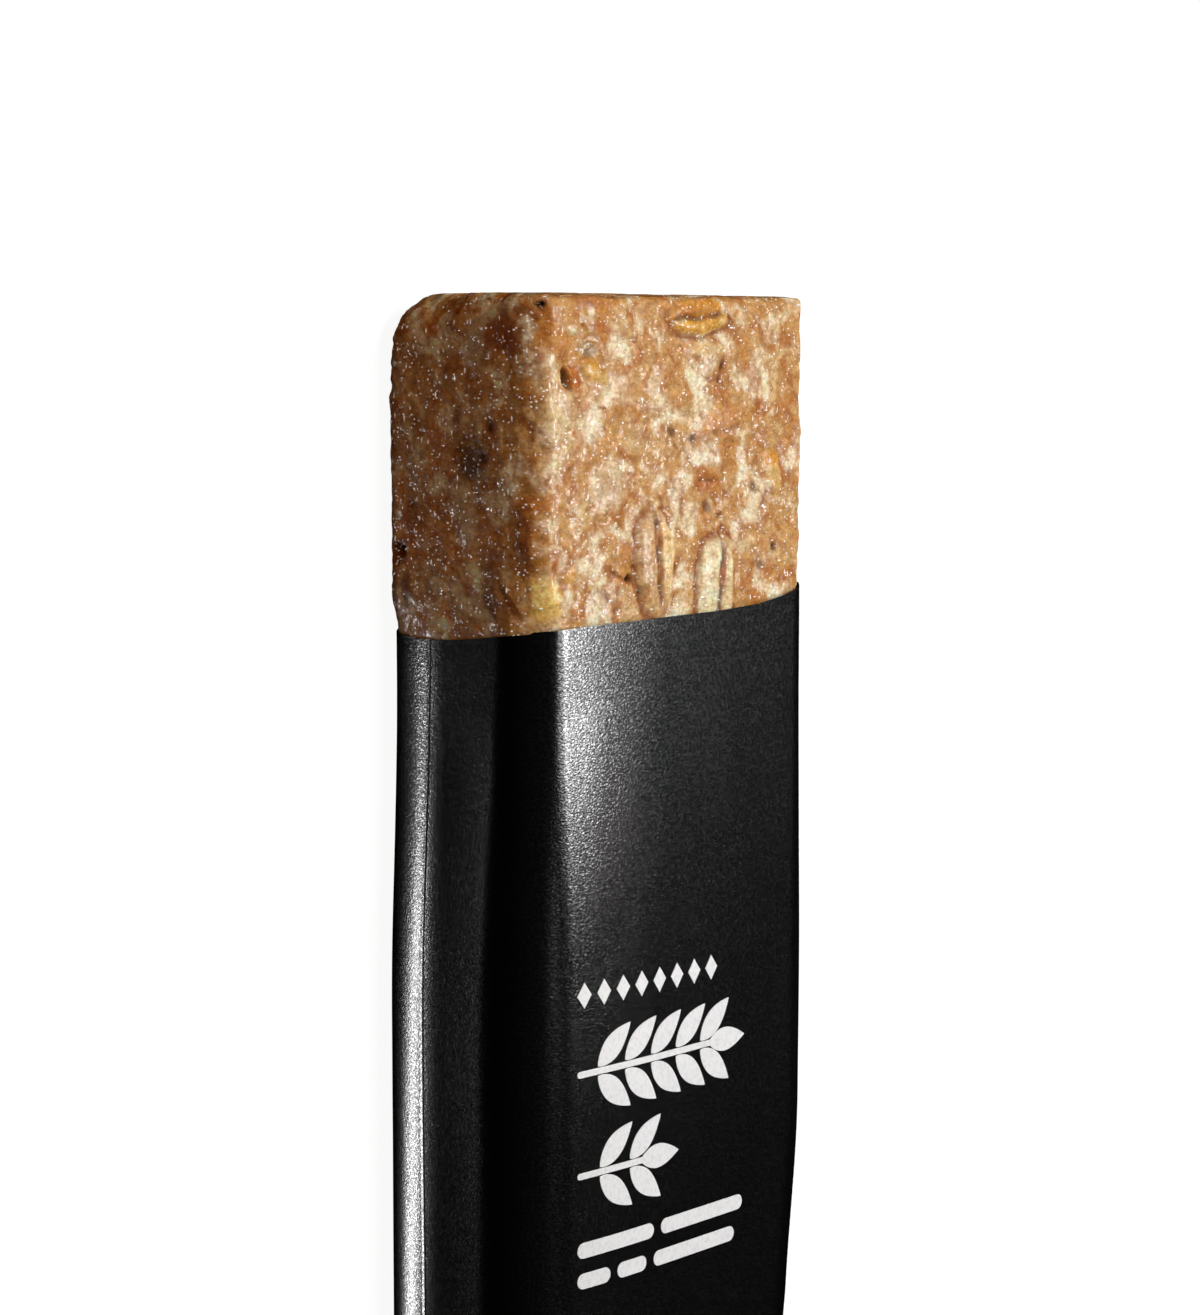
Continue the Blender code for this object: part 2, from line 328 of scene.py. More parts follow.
def mass_material():
    n = Nodes("pressed_oat_mass")
    even = (1.0, 0.70, 0.82)
    granule = n.ramp(n.voronoi(0.62, stretch=even), (0.10, (1.12, 1.14, 1.20)), (0.45, (0.99, 0.99, 0.99)), (0.80, (0.80, 0.73, 0.64)))
    speck = n.ramp(n.noise(0.26, 3.0, 0.6, even), (0.30, (0.72, 0.64, 0.54)), (0.48, (0.98, 0.98, 0.98)), (0.66, (1.20, 1.25, 1.34)))
    blot = n.ramp(n.noise(1.3, 3.0, 0.6, even), (0.32, (0.78, 0.67, 0.54)), (0.50, (1.0, 1.0, 1.0)), (0.66, (1.08, 1.12, 1.22)))
    colour = n.blend("MULTIPLY", n.attribute("tint"), granule, 0.8)
    colour = n.blend("MULTIPLY", colour, speck, 0.95)
    colour = n.blend("MULTIPLY", colour, blot, 0.8)
    # painted glints: tiny pale dots and dashes, painted near white into the colour and made to glow, stand in for the
    # sparkle of light on the wet surface
    painted_glint_dots = n.ramp(n.voronoi(0.42, stretch=even), (0.13, 1.0), (0.23, 0.0))
    painted_glint_dashes_a = n.ramp(n.voronoi(0.60, stretch=(0.32, 1.0, 1.0), turn=(0.3, 0.2, 0.6)), (0.09, 1.0), (0.17, 0.0))
    painted_glint_dashes_b = n.ramp(n.voronoi(0.56, stretch=(1.0, 0.34, 0.6), turn=(0.7, 0.1, 0.3)), (0.09, 1.0), (0.17, 0.0))
    where = n.ramp(n.noise(1.0, 3.0, 0.7, even), (0.43, 0.0), (0.53, 0.6), (0.63, 1.0))
    glint = n.math("MAXIMUM", n.math("MAXIMUM", painted_glint_dots, painted_glint_dashes_a), painted_glint_dashes_b)
    glint = n.math("MULTIPLY", glint, where, clamp=True)
    colour = n.blend("MIX", colour, (0.93, 0.90, 0.86), glint)
    shine = n.blend("MIX", (0.0, 0.0, 0.0), (1.0, 0.95, 0.90), glint)
    n.link(shine, n.shader.inputs["Emission Color"])
    rough = n.ramp(n.noise(0.8, 2.0), (0.35, 0.34), (0.65, 0.55))
    lumps = n.bump(n.noise(0.50, 2.0, 0.55, even), 0.09, 0.7)
    fine = n.bump(n.noise(0.22, 1.0, 0.5, even), 0.045, 0.8, lumps)
    wet = n.bump(n.noise(0.34, 1.0, 0.5, even), 0.09, 0.8)
    n.link(wet, n.shader.inputs["Coat Normal"])
    n.link(n.ramp(n.attribute("tint"), (0.10, 0.0), (0.34, 0.28)), n.shader.inputs["Coat Weight"])
    # the emission strength here makes the painted glints glow
    n.put(Specular_IOR_Level=0.06, Subsurface_Weight=0.6, Subsurface_Scale=0.0015, Coat_Roughness=0.08, Coat_IOR=1.42, Emission_Strength=0.35)
    n.shader.inputs["Subsurface Radius"].default_value = (1.0, 0.48, 0.22)
    return n.finish(colour, rough, fine)


# ---- the pressed mass ----------------------------------------------------------------------------------------
def pressed_block(step=0.215):
    """Grid points of the whole bar on a square-cornered block. Fine on the bare part, coarse inside the film. Returns
    points, faces, the rows' positions along the bar and the number of points round a row."""
    ny, nz = int(round(WIDTH / step)), int(round(THICK / step))
    ys = np.linspace(-HW, HW, ny + 1)
    zs = np.linspace(0, THICK, nz + 1)
    front = [(y, THICK) for y in ys[:-1]]
    right = [(HW, z) for z in zs[::-1][:-1]]
    back = [(y, 0.0) for y in ys[::-1][:-1]]
    left = [(-HW, z) for z in zs[:-1]]
    ring = np.array(front + right + back + left)
    fine = np.arange(0, 29.9, step)
    coarse, at, gap = [], fine[-1], 0.4
    while at + gap < 94.5:
        at += gap
        coarse.append(at)
        gap = min(gap * 1.5, 6.5)
    rows = np.concatenate([fine, coarse, [95.0, 95.6, 96.0]]) + X0
    n_ring = len(ring)
    pts = np.zeros((len(rows), n_ring, 3))
    pts[:, :, 0] = rows[:, None]
    pts[:, :, 1:] = ring[None]
    pts = pts.reshape(-1, 3)
    quads = []
    k = np.arange(n_ring)
    for i in range(len(rows) - 1):
        a, b = i * n_ring + k, i * n_ring + (k + 1) % n_ring
        quads.append(np.stack([a, b, b + n_ring, a + n_ring], 1))
    # The bare end: its border is row 0, and its inside is a grid of its own.
    inside = np.array([(X0, y, z) for z in zs[1:-1] for y in ys[1:-1]])
    base = len(pts)
    pts = np.concatenate([pts, inside])
    index = np.zeros((nz + 1, ny + 1), np.int64)
    index[1:-1, 1:-1] = base + np.arange(len(inside)).reshape(nz - 1, ny - 1)
    index[nz, :] = np.concatenate([np.arange(ny), [ny]])
    index[:, ny] = ny + nz - np.arange(nz + 1)
    index[0, :] = 2 * ny + nz - np.arange(ny + 1)
    index[:, 0] = (2 * ny + nz + np.arange(nz + 1)) % n_ring
    cap = np.stack([index[:-1, :-1], index[1:, :-1], index[1:, 1:], index[:-1, 1:]], -1).reshape(-1, 4)
    far = (len(rows) - 1) * n_ring + k
    return pts, [np.concatenate(quads), cap, far], rows, n_ring


BEND_AT = np.linspace(8.0, 18.0, 201)
BEND_SLOPE = np.interp(BEND_AT, (8.0, 10.6, 12.2, 15.2, 16.2, 18.0), (0.0, 0.0, 0.09, 0.24, 0.36, 0.38))
BEND = np.concatenate([[0.0], np.cumsum((BEND_SLOPE[1:] + BEND_SLOPE[:-1]) / 2 * 0.05)])


def band_shift(x, y, z):
    """The back strip of the left side bends inwards, more so lower down the pack."""
    lean = np.interp(THICK - z, BEND_AT, BEND)
    return lean * mix(0.88, 1.0, smooth((x + 31) / 22)) * np.clip((-y - 11) / 5, 0, 1) * smooth((TAPER_FROM + 2 - x) / 6)


def film_radius(x, y, z):
    """Corner radius of the film at x, for the corner that the point is nearest to."""
    t = smooth((x + 28) / 50)
    late = smooth((x - 14) / 22)
    front_left = mix(4.0, 5.4, smooth((x + 28) / 34))
    front_right = mix(mix(2.0, 2.6, t), 5.2, late)
    back_right = mix(2.2, 3.0, t)
    back_left = mix(1.3, 1.4, t)
    middle = THICK / 2
    return np.where(z > middle, np.where(y < 0, front_left, front_right), np.where(y < 0, back_left, back_right))


def crown(x, y, z):
    """How much lower the front lies towards its left edge, under the film and just above it."""
    past = x - rim_x(y, z)
    ramp = 0.75 * smooth((past + 10) / 10) + 0.25 * smooth(past / 8)
    fall = 0.0038 * np.clip(17 - (y + HW), 0, 17) ** 2
    return fall * ramp * smooth((z - 5) / 11) * smooth((TAPER_FROM + 2 - x) / 6)


def press(p):
    """The block's points moved onto its rounded form, and the outward direction there."""
    x, y, z = p.T
    end_zone = smooth((X0 + 7 - x) / 7)
    wander = perlin(p * np.array([0.21, 0.12, 0.12]) + 4.0, 71)
    past_rim = x - rim_x(y, z)
    r = np.where(z < THICK / 2, mix(1.9, 3.4, end_zone), 1.7) + 0.8 * wander
    r = np.clip(r, 0.6, 4.0)
    rx = mix(0.8, 4.6, smooth(1 - z / THICK)) + 0.5 * wander
    rx = np.where(x > 0, 3.0, rx)
    inset = 0.16 + 0.34 * smooth((past_rim + 0.05) / 1.0)
    r = mix(r, film_radius(x, y, z) - 0.1, smooth((past_rim + 5) / 5))
    long_corner = smooth((z - THICK / 2) / 4) * smooth((-y - 4) / 6) * (1 - smooth((past_rim + 6) / 6))
    rz = r * (1 + 1.3 * long_corner)
    reach = HW - inset
    low = 0.12 + inset
    high = THICK - inset
    y = y / HW * reach
    z = low + (z / THICK) * (high - low)
    core = np.stack([np.clip(x, X0 + rx, BAR_END - rx), np.clip(y, -reach + r, reach - r), np.clip(z, low + r, high - rz)], 1)
    scale = np.stack([rx, r, rz], 1)
    d = (np.stack([x, y, z], 1) - core) / scale
    size = np.linalg.norm(d, axis=1)[:, None]
    unit = d / np.maximum(size, 1e-9)
    q = core + unit * scale
    n = unit / scale
    n /= np.maximum(np.linalg.norm(n, axis=1)[:, None], 1e-9)
    q[:, 1] += band_shift(q[:, 0], q[:, 1], q[:, 2]) * smooth((past_rim + 4) / 4)
    q[:, 2] -= crown(q[:, 0], q[:, 1], q[:, 2])
    return q, n


def at_front(e, s):
    return np.array([X0 + e, -HW + s, THICK])


def at_left(e, t):
    return np.array([X0 + e, -HW, THICK - t])


FRONT = (np.array([0, 0, 1.0]), np.array([1.0, 0, 0]), np.array([0, 1.0, 0]))  # outward, away from the end, across
LEFT = (np.array([0, -1.0, 0]), np.array([1.0, 0, 0]), np.array([0, 0, 1.0]))
RIGHT = (np.array([0, 1.0, 0]), np.array([1.0, 0, 0]), np.array([0, 0, -1.0]))
BACK = (np.array([0, 0, -1.0]), np.array([1.0, 0, 0]), np.array([0, -1.0, 0]))
END = (np.array([-1.0, 0, 0]), np.array([0, 0, -1.0]), np.array([0, 1.0, 0]))


def local(p, centre, axes, turn=0.0):
    """Coordinates of p seen from a spot on a face: along, across (turned by degrees), and out of the face."""
    n, a, b = axes
    d = p - centre
    c, s = math.cos(math.radians(turn)), math.sin(math.radians(turn))
    u, v = d @ a, d @ b
    return u * c + v * s, v * c - u * s, d @ n


# Each mark on the mass: (kind, centre, face, turn, half length, half width, depth or height, colour, strength)
MARKS = [
    # the front, as it shows
    ("pit", at_front(7.2, 3.7), FRONT, 35, 1.0, 0.6, 1.5, DARK, 1.0),
    ("hollow", at_front(6.0, 6.2), FRONT, 35, 3.6, 2.2, 0.28, GOLD, 0.65),
    ("stain", at_front(7.1, 5.0), FRONT, 20, 1.3, 0.9, 0.0, ORANGE, 0.9),
    ("lump", at_front(6.5, 7.3), FRONT, 60, 1.9, 0.9, 0.45, YELLOW, 0.85),
    ("stain", at_front(4.7, 6.5), FRONT, 60, 1.2, 0.8, 0.0, lin(150, 140, 112), 0.6),
    ("stain", at_front(3.0, 8.5), FRONT, 80, 2.6, 0.35, 0.0, ORANGE, 0.7),
    ("crack", at_front(6.4, 24.2), FRONT, -14, 1.5, 0.28, 0.8, DARK, 1.0),
    ("crack", at_front(11.9, 23.3), FRONT, 106, 3.9, 0.30, 0.4, BROWN, 0.85),
    ("lump", at_front(10.9, 24.0), FRONT, 104, 3.4, 1.5, 0.25, lin(214, 150, 92), 0.8),
    ("stain", at_front(12.2, 20.4), FRONT, 100, 0.7, 0.4, 0.0, DARK, 0.8),
    ("stain", at_front(5.1, 27.7), FRONT, 3, 2.2, 0.9, 0.0, lin(202, 136, 74), 0.8),
    ("stain", at_front(4.3, 20.2), FRONT, 95, 1.3, 0.8, 0.0, ORANGE, 0.75),
    ("stain", at_front(9.6, 29.6), FRONT, 12, 1.9, 0.35, 0.0, ORANGE, 0.9),
    ("stain", at_front(11.6, 17.3), FRONT, 60, 0.7, 0.5, 0.0, BROWN, 0.9),
    ("lump", at_front(15.6, 31.9), FRONT, 10, 2.6, 1.3, 0.35, lin(232, 196, 128), 0.8),
    ("stain", at_front(14.2, 31.4), FRONT, 90, 1.2, 0.9, 0.0, lin(214, 142, 30), 0.95),
    ("crack", at_front(15.9, 22.2), FRONT, 97, 1.6, 0.26, 0.35, BROWN, 0.95),
    ("stain", at_front(16.4, 22.0), FRONT, 90, 1.4, 0.5, 0.0, ORANGE, 0.7),
    ("stain", at_front(18.3, 22.4), FRONT, 40, 0.9, 0.5, 0.0, BROWN, 0.8),
    ("crack", at_front(17.3, 18.9), FRONT, 3, 1.6, 0.18, 0.25, BROWN, 0.8),
    ("stain", at_front(16.8, 29.0), FRONT, 50, 0.9, 0.6, 0.0, BROWN, 0.75),
    ("crack", at_front(17.9, 30.5), FRONT, -20, 1.1, 0.25, 0.35, BROWN, 0.9),
    ("pit", at_front(22.1, 32.0), FRONT, 60, 0.45, 0.30, 0.7, DARK, 1.0),
    ("stain", at_front(23.6, 30.1), FRONT, 70, 0.8, 0.5, 0.0, BROWN, 0.8),
    ("crack", at_front(23.5, 10.2), FRONT, 72, 2.0, 0.20, 0.25, BROWN, 0.85),
    ("pit", at_front(23.9, 11.9), FRONT, 60, 0.45, 0.4, 0.5, DARK, 0.9),
    ("stain", at_front(22.7, 2.2), FRONT, -6, 1.4, 0.4, 0.0, ORANGE, 0.95),
    ("stain", at_front(23.6, 4.4), FRONT, 0, 1.0, 0.6, 0.0, lin(220, 160, 40), 0.8),
    ("lump", at_front(25.1, 1.9), FRONT, 15, 2.3, 2.0, 0.22, lin(252, 214, 128), 0.95),
    ("crack", at_front(25.7, 9.2), FRONT, 50, 1.5, 0.35, 0.3, BROWN, 0.8),
    ("pit", at_front(25.3, 13.4), FRONT, 0, 0.7, 0.55, 1.0, DARK, 0.95),
    ("lump", at_front(10.6, 2.9), FRONT, 5, 4.6, 2.6, 0.16, CREAM, 0.85),
    ("stain", at_front(11.5, 4.4), FRONT, 0, 0.4, 0.3, 0.0, ORANGE, 0.95),
    ("pit", at_front(1.0, 1.0), FRONT, 0, 0.35, 0.25, 0.5, DARK, 0.9),
    ("lump", at_front(2.6, 10.3), FRONT, 80, 1.8, 1.4, 0.2, CREAM, 0.5),
    ("lump", at_front(4.6, 22.0), FRONT, 90, 3.2, 0.9, 0.12, lin(232, 200, 146), 0.85),
    ("lump", at_front(16.3, 9.0), FRONT, 20, 2.4, 2.6, 0.2, lin(224, 204, 180), 0.75),
    ("lump", at_front(5.4, 22.8), FRONT, 0, 1.6, 1.2, 0.18, lin(224, 206, 186), 0.7),
    ("lump", at_front(19.0, 13.0), FRONT, 10, 1.5, 1.6, 0.15, lin(214, 184, 150), 0.6),
    # the left side, as it shows
    ("stain", at_left(3.4, 4.2), LEFT, 0, 1.9, 2.6, 0.0, lin(150, 78, 34), 0.85),
    ("crack", at_left(11.3, 5.5), LEFT, 4, 1.0, 0.45, 0.6, DARK, 0.95),
    ("lump", at_left(11.6, 4.4), LEFT, 4, 2.0, 0.45, 0.3, CREAM, 0.8),
    ("lump", at_left(11.3, 6.6), LEFT, 4, 1.2, 0.4, 0.2, CREAM, 0.6),
    ("stain", at_left(13.9, 7.6), LEFT, 15, 2.0, 2.0, 0.0, lin(84, 44, 22), 0.85),
    ("lump", at_left(18.4, 8.4), LEFT, 10, 3.4, 1.7, 0.35, lin(214, 200, 178), 0.8),
    ("lump", at_left(4.3, 7.4), LEFT, 0, 2.5, 1.5, 0.3, lin(216, 200, 176), 0.7),
    ("lump", at_left(14.8, 13.2), LEFT, 0, 3.0, 1.4, 0.25, lin(206, 186, 160), 0.5),
    ("pit", at_left(21.8, 16.2), LEFT, 0, 0.9, 0.9, 1.6, DARK, 1.0),
    ("lump", at_left(5.1, 16.4), LEFT, 0, 1.3, 0.8, 0.5, lin(120, 76, 44), 0.8),
    ("pit", at_left(7.9, 16.9), LEFT, 0, 0.5, 0.6, 0.6, BROWN, 0.8),
    ("stain", at_left(25.1, 15.0), LEFT, 0, 1.8, 0.6, 0.0, BROWN, 0.85),
    ("lump", at_left(19.6, 1.9), LEFT, -3, 3.3, 1.0, 0.35, lin(160, 92, 44), 0.75),
    ("stain", at_left(25.2, 3.6), LEFT, 32, 2.4, 0.35, 0.0, BROWN, 0.9),
    ("stain", at_left(26.0, 5.4), LEFT, 30, 1.6, 0.3, 0.0, BROWN, 0.8),
]


def hidden_marks():
    """The same kinds of marks, scattered over the faces that the photo doesn't show."""
    marks = []
    for axes, origin, span_a, span_b in (
        (BACK, np.array([X0, HW, 0.0]), 27.0, WIDTH),
        (RIGHT, np.array([X0, HW, THICK]), 26.0, THICK),
        (END, np.array([X0, -HW, THICK]), THICK, WIDTH),
    ):
        n, a, b = axes
        for _ in range(int(span_a * span_b / 24)):
            centre = origin + a * rng.uniform(1.5, span_a - 1.5) + b * rng.uniform(1.5, span_b - 1.5)
            kind = rng.choice(["lump", "stain", "crack", "pit"], p=[0.45, 0.27, 0.2, 0.08])
            turn = rng.uniform(0, 180)
            pick = rng.uniform()
            if kind == "lump":
                colour = [CREAM, YELLOW, lin(214, 150, 92), lin(224, 204, 180)][int(pick * 4)]
                marks.append((kind, centre, axes, turn, rng.uniform(1.2, 3.2), rng.uniform(0.8, 2.0), rng.uniform(0.12, 0.4), colour, 0.75))
            elif kind == "stain":
                marks.append((kind, centre, axes, turn, rng.uniform(0.6, 2.4), rng.uniform(0.3, 1.0), 0.0, ORANGE if pick < 0.6 else BROWN, 0.8))
            elif kind == "crack":
                marks.append((kind, centre, axes, turn, rng.uniform(1.0, 3.2), rng.uniform(0.2, 0.35), rng.uniform(0.25, 0.7), BROWN if pick < 0.7 else DARK, 0.9))
            else:
                marks.append((kind, centre, axes, turn, rng.uniform(0.4, 0.9), rng.uniform(0.3, 0.6), rng.uniform(0.5, 1.2), DARK, 0.95))
    return marks


# Whole oats that lie in the surface: (centre, face, turn, length, width, height, tone of the left lobe, of the right,
# place of the crease)
OATS = [
    (at_front(22.5, 15.2), FRONT, 6, 9.2, 5.2, 0.90, lin(206, 164, 118), lin(236, 204, 150), 0.10),
    (at_front(25.2, 23.6), FRONT, 1, 9.6, 5.4, 0.95, lin(246, 228, 196), lin(240, 218, 176), 0.22),
    (at_front(1.9, 20.9), FRONT, 96, 8.0, 3.4, 0.85, lin(226, 172, 80), lin(212, 148, 60), -0.05),
]


def hidden_oats():
    found = []
    spots = (
        (BACK, np.array([X0, HW, 0.0]), 26.0, WIDTH, 9),
        (RIGHT, np.array([X0, HW, THICK]), 24.0, THICK, 4),
        (END, np.array([X0, -HW, THICK]), THICK, WIDTH, 6),
    )
    for axes, origin, span_a, span_b, count in spots:
        placed = []
        while len(placed) < count:
            u, v = rng.uniform(4.5, span_a - 3.5), rng.uniform(4.0, span_b - 4.0)
            if all((u - a) ** 2 + (v - b) ** 2 > 36 for a, b in placed):
                placed.append((u, v))
                centre = origin + axes[1] * u + axes[2] * v
                tones = [lin(226, 202, 164), lin(208, 164, 112), lin(212, 160, 84), lin(222, 186, 128)]
                a, b = rng.integers(0, 4, 2)
                size = (rng.uniform(6.4, 8.2), rng.uniform(3.8, 4.9), rng.uniform(0.75, 0.95))
                found.append((centre, axes, rng.uniform(0, 180), *size, tones[a], tones[b], rng.uniform(-0.2, 0.2)))
    return found


OATS += hidden_oats()
MARKS += hidden_marks()


def mass_relief(p, n):
    """Height in millimetres and colour of the mass at each point of the rounded block."""
    stretch = np.array([[0.82, 0.76, 0.92]])
    full_form = p
    p = p * np.array([1.0, 0.78, 0.90])
    warp = np.stack([fbm(p / 3.2 + 9, 2, 31), fbm(p / 3.2 + 19, 2, 33), fbm(p / 3.2 + 29, 2, 35)], 1) * 1.3
    q = (full_form + warp) * stretch
    f1, f2, r1, r2, r3 = cells(q / 2.9, 3)
    g1, g2, s1, s2, s3 = cells((p + warp * 0.7) / 1.25, 11)
    height = 0.15 * perlin(q / 6.0, 1) + 0.09 * perlin(q / 2.8, 2)
    height += 0.09 * (0.55 - f1) * (0.6 + 0.8 * r2)
    height += 0.06 * (0.5 - g1)
    height += 0.09 * perlin(p / 1.7, 4) + 0.08 * perlin(p / 1.0, 5) + 0.07 * perlin(p / 0.55, 6)
    seam = smooth(1 - (f2 - f1) / 0.13)
    gate = smooth((perlin(p / 2.6, 21) - 0.02) / 0.3)
    height -= 0.11 * seam * gate
    # colour: soft clumps, each with a tone of its own, under slow drifts of cream, gold and brown
    tone = np.where((r1 < 0.34)[:, None], mix(CREAM, TAN, 0.2), TAN)
    tone = np.where(((r1 > 0.66) & (r1 < 0.86))[:, None], mix(TAN, GOLD, 0.8), tone)
    tone = np.where((r1 >= 0.86)[:, None], mix(TAN, ORANGE, 0.5), tone)
    soft = smooth((f2 - f1) / 0.75)[:, None]
    colour = mix(mix(TAN, GOLD, 0.3), tone, soft * 0.85)
    small = np.where((s1 < 0.35)[:, None], CREAM, np.where((s1 > 0.80)[:, None], mix(GOLD, ORANGE, 0.5), TAN))
    colour = mix(colour, small, 0.38 * smooth((g2 - g1) / 0.5)[:, None])
    golden = smooth((fbm(q / 2.6 + 50, 3, 41) - 0.04) / 0.40)[:, None]
    colour = mix(colour, mix(GOLD, ORANGE, 0.35), golden * 0.72)
    pale = smooth((fbm(q / 2.2 + 70, 4, 43) + 0.04) / 0.42)[:, None]
    colour = mix(colour, lin(250, 234, 208), pale * 0.86)
    wet = smooth((fbm(q / 1.4 + 90, 4, 45) - 0.05) / 0.34)[:, None]
    colour = mix(colour, mix(ORANGE, BROWN, 0.15), wet * 0.62)
    thread = np.abs(fbm(q / 2.0 + 130, 3, 48))
    syrup = smooth(1 - thread / 0.060) * smooth((perlin(p / 2.8, 49) + 0.10) / 0.3)
    colour = mix(colour, mix(ORANGE, BROWN, 0.20), (syrup * 0.72)[:, None])
    line = (seam * gate * smooth((perlin(p / 1.6, 23) + 0.0) / 0.25))[:, None]
    colour = mix(colour, mix(ORANGE, BROWN, 0.45), line * 0.50)
    # small sunk hollows, with brown painted into them as painted shade
    hole = smooth((perlin(p / 1.25, 27) - 0.53) / 0.10)
    height -= 0.28 * hole
    colour = mix(colour, BROWN, hole[:, None] * 0.6)
    p = full_form
    # the cut edge between front and left is crumbly; on the left side along it the colour is warmed to gold and orange,
    # a painted glow of light through the edge
    corner = np.exp(-(((THICK - p[:, 2]) ** 2 + (p[:, 1] + HW) ** 2) / 2.3**2))
    height += corner * (0.50 * perlin(p / 2.6, 24) + 0.26 * perlin(p / 1.2, 25))
    edge_glow_tint = np.exp(-(((THICK - p[:, 2] - 2.4) / 1.7) ** 2)) * smooth((-n[:, 1] - 0.35) / 0.5) * smooth((fbm(p / 2.4 + 30, 2, 47) + 0.25) / 0.5)
    colour = mix(colour, mix(GOLD, ORANGE, 0.35), (edge_glow_tint * 0.42)[:, None])
    # the left side is drawn out in long soft streaks
    streak = fbm(p / np.array([7.0, 3.0, 2.3]) + 60, 3, 29) * smooth((-n[:, 1] - 0.5) / 0.3) * smooth((THICK - p[:, 2] - 2) / 3)
    colour = colour * (1 + 0.75 * np.clip(streak, -0.6, 0.8))[:, None]
    bare_mask = np.ones(len(p))
    for kind, centre, axes, turn, a, b, size, tone, strength in MARKS:
        near = np.abs(p - centre).max(1) < max(a, b) + 2.5
        if not near.any():
            continue
        u, v, w = local(p[near], centre, axes, turn)
        wob = 0.55 * perlin(p[near] / 1.5 + 3, 51) + 0.40 * perlin(p[near] / 0.6 + 5, 52)
        rho = np.sqrt((u / a) ** 2 + (v / b) ** 2) + wob * min(1.0, 1.2 / max(a, b) + 0.25)
        facing = smooth((n[near] @ axes[0] - 0.15) / 0.4) * smooth((2.4 - np.abs(w)) / 0.8)
        # a pit is sunk and painted dark inside, a painted shade in the hollow, with a brown-orange rim round it
        if kind == "pit":
            cover = smooth((1.15 - rho) / 0.5) * facing
            height[near] -= size * cover
            rim = smooth((1.9 - rho) / 0.8) * facing
            colour[near] = mix(colour[near], mix(BROWN, ORANGE, 0.3), (rim * 0.55 * strength)[:, None])
            colour[near] = mix(colour[near], tone, (cover * strength)[:, None])
        elif kind == "hollow":
            cover = smooth((1.15 - rho) / 0.5) * facing
            height[near] -= size * cover
            colour[near] = mix(colour[near], tone, (cover * strength)[:, None])
        # a crack is a groove with a warm halo; the tone painted into the groove is partly a brown line of the mass and
        # partly painted shade
        elif kind == "crack":
            bend = v + 0.25 * a * 0.3 * np.sin(u / a * 2.2)
            across = np.abs(bend) / b + 1.3 * np.abs(wob)
            along = np.abs(u) / a
            gate4 = smooth((perlin(p[near] / 0.9 + 15, 59) + 0.35) / 0.4)
            cover = smooth(1.25 - across) * smooth((1.1 - along) / 0.35) * facing * gate4
            height[near] -= 0.24 * size * cover
            halo = smooth((3.6 - across) / 2.6) * smooth((1.15 - along) / 0.4) * facing
            colour[near] = mix(colour[near], mix(ORANGE, TAN, 0.15), (halo * 0.62 * strength)[:, None])
            colour[near] = mix(colour[near], tone, (cover * strength * 0.85)[:, None])
        elif kind == "lump":
            cover = smooth((1.12 - rho) / 0.75) * facing
            height[near] += size * (0.6 if axes is not LEFT else 0.3) * cover
            border = smooth(1 - np.abs(rho - 1.08) / 0.16) * facing
            height[near] -= 0.05 * border
            tint = mix(tone, colour[near], 0.22)
            colour[near] = mix(colour[near], tint, (cover * strength)[:, None])
            gate2 = smooth((perlin(p[near] / 1.3 + 8, 53) + 0.1) / 0.3)
            colour[near] = mix(colour[near], mix(ORANGE, BROWN, 0.25), (border * gate2 * 0.28)[:, None])
        else:
            cover = smooth((1.15 - rho) / 0.7) * facing
            colour[near] = mix(colour[near], tone, (cover * strength * 0.9)[:, None])
    # whole oats, each two uneven lobes with a brown crease between them, half sunk in the mass
    for k, (centre, axes, turn, length, width, tall, left_tone, right_tone, crease) in enumerate(OATS):
        near = np.abs(p - centre).max(1) < length / 2 + 1.5
        P, sunk = p[near], 2.7 * k + 5
        u, v, w = local(P, centre, axes, turn)
        facing = smooth((n[near] @ axes[0] - 0.3) / 0.4)
        a, b = u / (length / 2), v / (width / 2)
        wander_row = np.stack([a * 1.7 + sunk, a * 0, a * 0 + 3.1], 1)
        b = b + 0.12 * perlin(wander_row * 0.7 + 20, 66)
        line_at = b - crease - 0.16 * perlin(wander_row, 61) + 0.06 * a
        # each lobe has its own length and end
        lobe = np.where(line_at > 0, 1.0, 0.0)
        reach_a = np.where(line_at > 0, a + 0.06, a - 0.08)
        rho = (np.abs(reach_a) ** 2.6 + np.abs(b) ** 2.3) ** (1 / 2.4) + 0.13 * perlin(P / 1.3 + 1, 57) + 0.06 * perlin(P / 0.5 + 2, 56)
        cover = smooth((1.04 - rho) / 0.24) * facing
        dome = np.sqrt(np.clip(1 - np.clip(rho, 0, 1) ** 2.2, 0, 1))
        reach = smooth((0.98 - np.abs(a)) / 0.3)
        groove = np.exp(-((line_at / 0.20) ** 2)) * reach
        deep = np.exp(-((line_at / 0.14) ** 2)) * reach
        fibres = 0.035 * perlin(np.stack([u / 3.0, v / 0.45, v * 0 + k], 1), 67)
        body = tall * 0.62 * dome * (1 - 0.45 * groove) - 0.07 * tall * deep + fibres - 0.08
        height[near] = mix(height[near], body + 0.35 * height[near], cover)
        tone = mix(np.tile(left_tone, (len(u), 1)), np.tile(right_tone, (len(u), 1)), lobe[:, None])
        streak = smooth((perlin(np.stack([u / 2.6 + k, v / 0.55, v * 0], 1), 64) - 0.02) / 0.4)[:, None]
        tone = mix(tone, mix(TAN, GOLD, 0.6), streak * 0.30)
        chalk = smooth((fbm(P / 1.5 + 7 + k, 2, 68) - 0.02) / 0.35)[:, None]
        tone = mix(tone, lin(240, 226, 200), chalk * 0.35)
